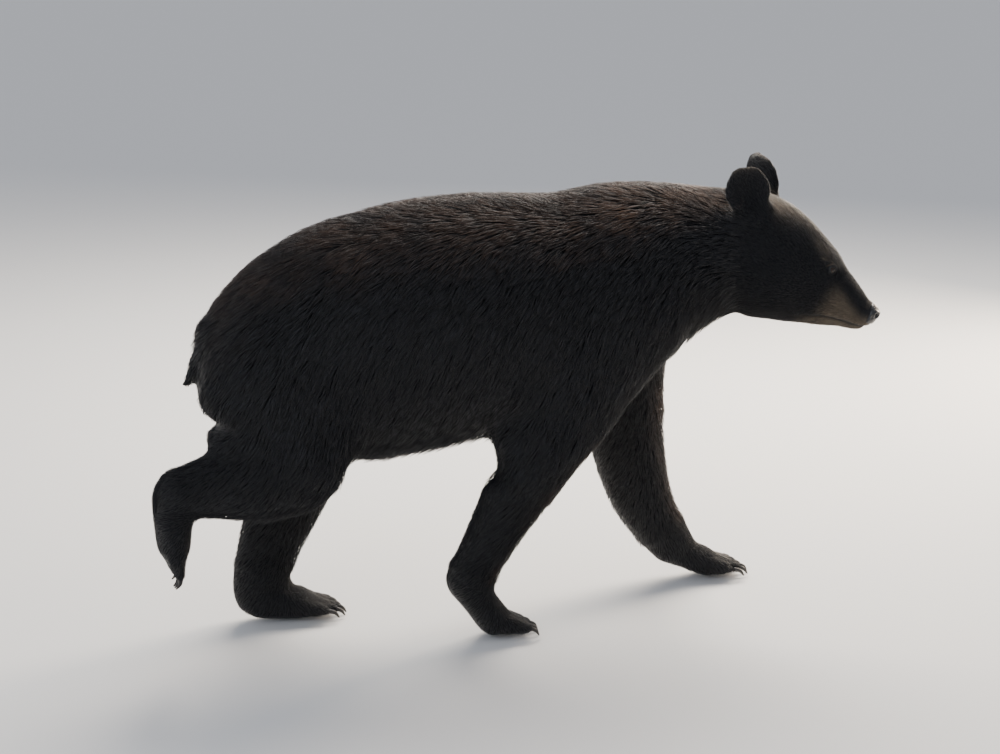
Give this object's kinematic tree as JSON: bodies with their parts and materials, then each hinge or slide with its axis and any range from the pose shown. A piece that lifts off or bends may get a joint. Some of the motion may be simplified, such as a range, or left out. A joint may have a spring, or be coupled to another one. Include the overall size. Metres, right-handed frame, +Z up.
{
  "type": "american black bear model",
  "caption": "Still, life-size model of a young adult black bear in mid stride, its head turned to the right and a hind foot lifted.",
  "frame": {"origin": "on the floor, under the middle of the whole animal's box", "axes": "+X towards the nose, +Y to the bear's left, +Z up"},
  "size_m": [1.4406, 0.3998, 0.9081],
  "materials": {
    "coat": "short, sleek black fur with brown tips, tan on the muzzle",
    "nose": "bare black skin, damp and finely pebbled",
    "eye": "wet, glossy dark brown",
    "claw": "dark brown horn, satin"
  },
  "bodies": {
    "root": {"trunk": "coat", "neck": "coat", "head": "coat", "ear_left": "coat", "ear_right": "coat", "tail": "coat", "nose": "nose", "eye_left": "eye", "eye_right": "eye", "fore_left_arm": "coat", "fore_left_forearm": "coat", "fore_left_paw": "coat", "fore_left_claw_1": "claw", "fore_left_claw_2": "claw", "fore_left_claw_3": "claw", "fore_left_claw_4": "claw", "fore_left_claw_5": "claw", "fore_right_arm": "coat", "fore_right_forearm": "coat", "fore_right_paw": "coat", "fore_right_claw_1": "claw", "fore_right_claw_2": "claw", "fore_right_claw_3": "claw", "fore_right_claw_4": "claw", "fore_right_claw_5": "claw", "hind_left_thigh": "coat", "hind_left_shank": "coat", "hind_left_paw": "coat", "hind_left_claw_1": "claw", "hind_left_claw_2": "claw", "hind_left_claw_3": "claw", "hind_left_claw_4": "claw", "hind_left_claw_5": "claw", "hind_right_thigh": "coat", "hind_right_shank": "coat", "hind_right_paw": "coat", "hind_right_claw_1": "claw", "hind_right_claw_2": "claw", "hind_right_claw_3": "claw", "hind_right_claw_4": "claw", "hind_right_claw_5": "claw"}
  },
  "joints": []
}
